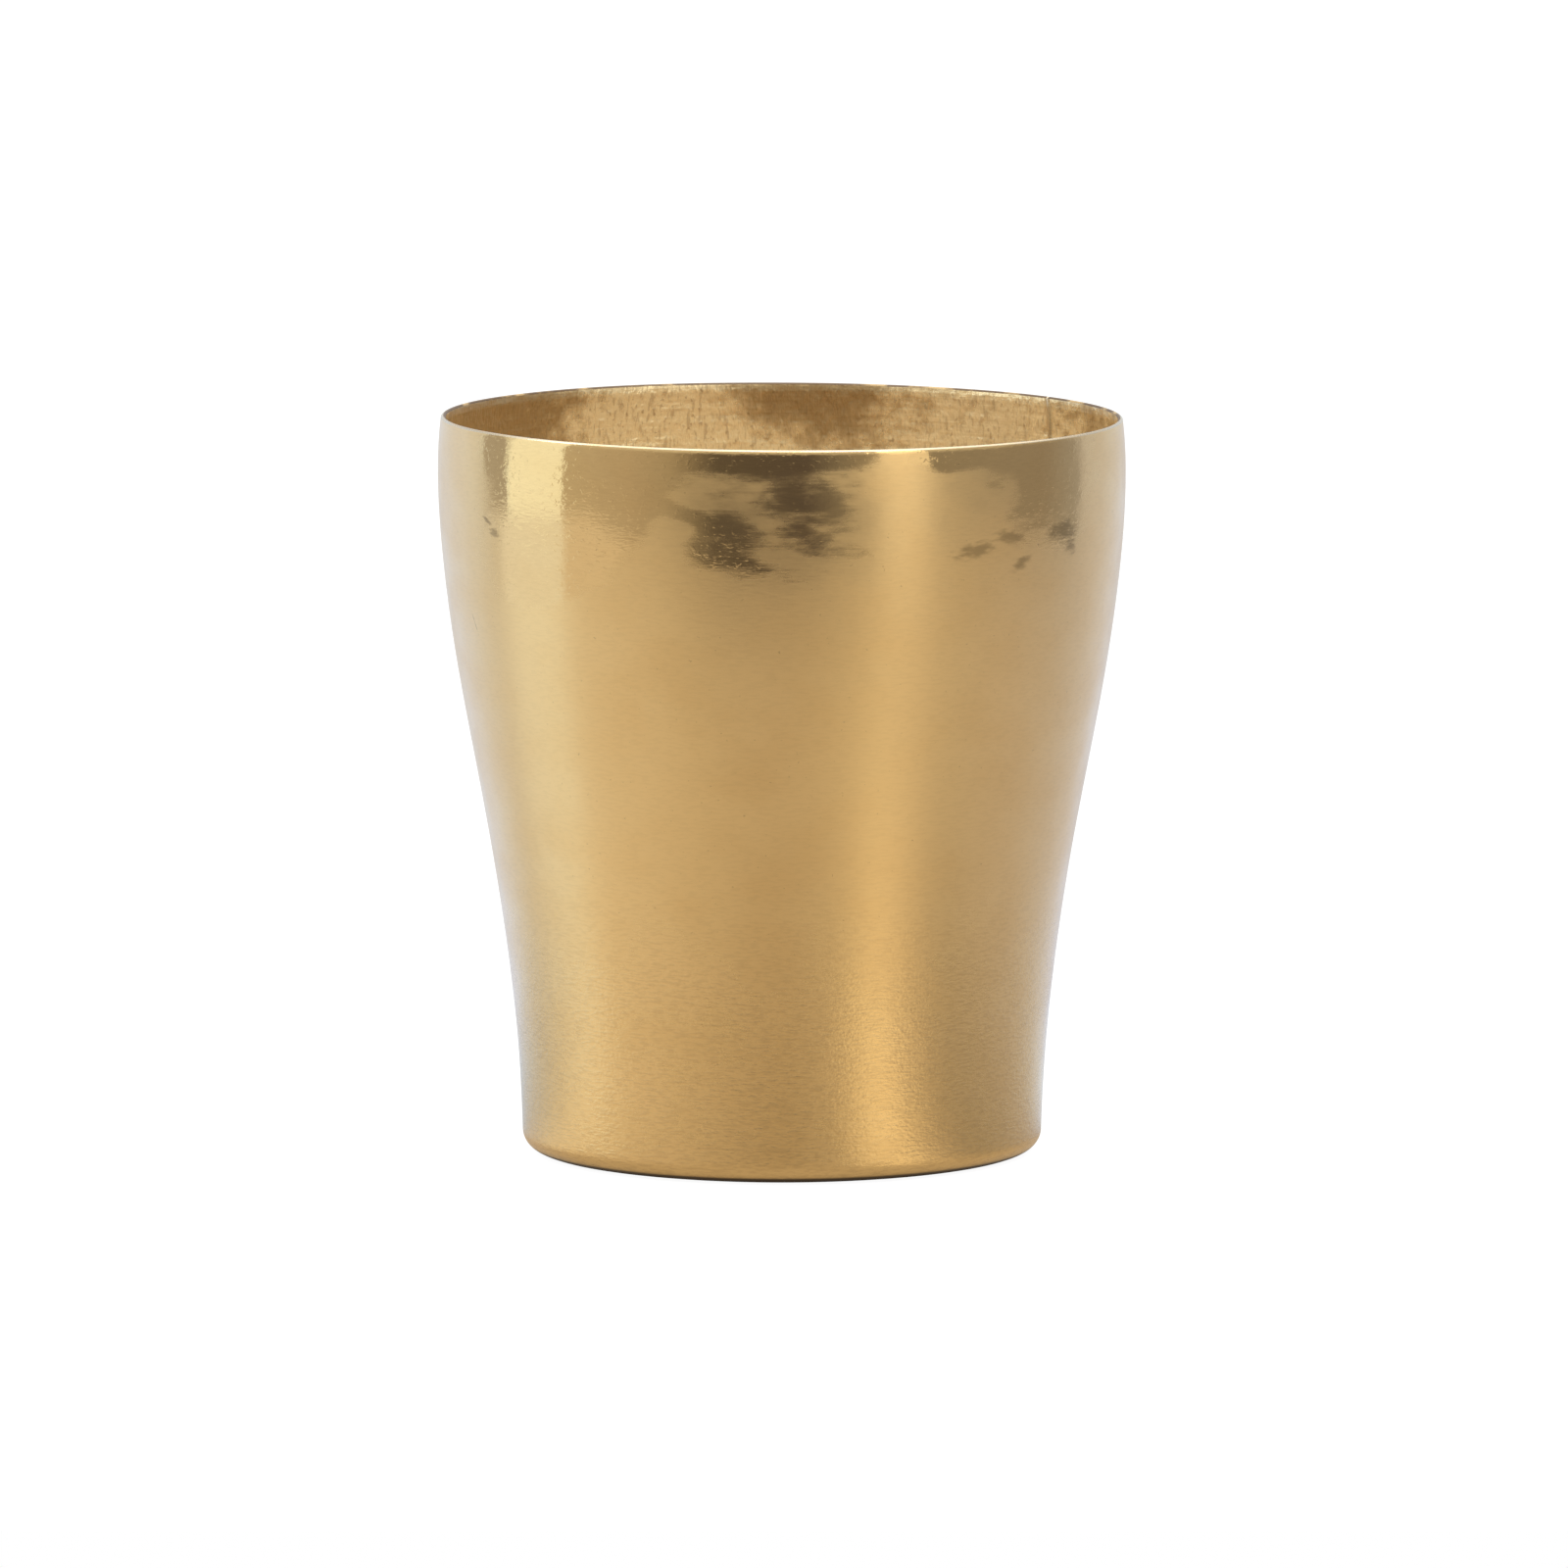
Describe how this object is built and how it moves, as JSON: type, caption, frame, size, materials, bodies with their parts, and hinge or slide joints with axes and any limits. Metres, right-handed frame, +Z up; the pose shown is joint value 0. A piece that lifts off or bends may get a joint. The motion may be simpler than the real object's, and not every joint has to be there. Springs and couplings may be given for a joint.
{
  "type": "planter pot",
  "caption": "Round brass planter pot that swells below a plain rim and narrows to a rounded foot, with a brazed side seam and a let-in flat base.",
  "frame": {"origin": "on the table under the middle of the base disc", "axes": "+Z up along the pot's axis of turning, +Y away from the side that is shown, +X to the right of it"},
  "size_m": [0.1412, 0.1412, 0.152],
  "materials": {
    "wall_brass": "hand-polished outside, satin towards the foot, raw and streaked inside",
    "base_brass": "turned and lightly tarnished",
    "braze": "pale silver-brass filler, filed back outside and raw inside"
  },
  "bodies": {
    "root": {"pot_wall": "wall_brass", "side_seam_braze": "braze", "base_disc": "base_brass", "base_seam_braze": "braze"}
  },
  "joints": []
}
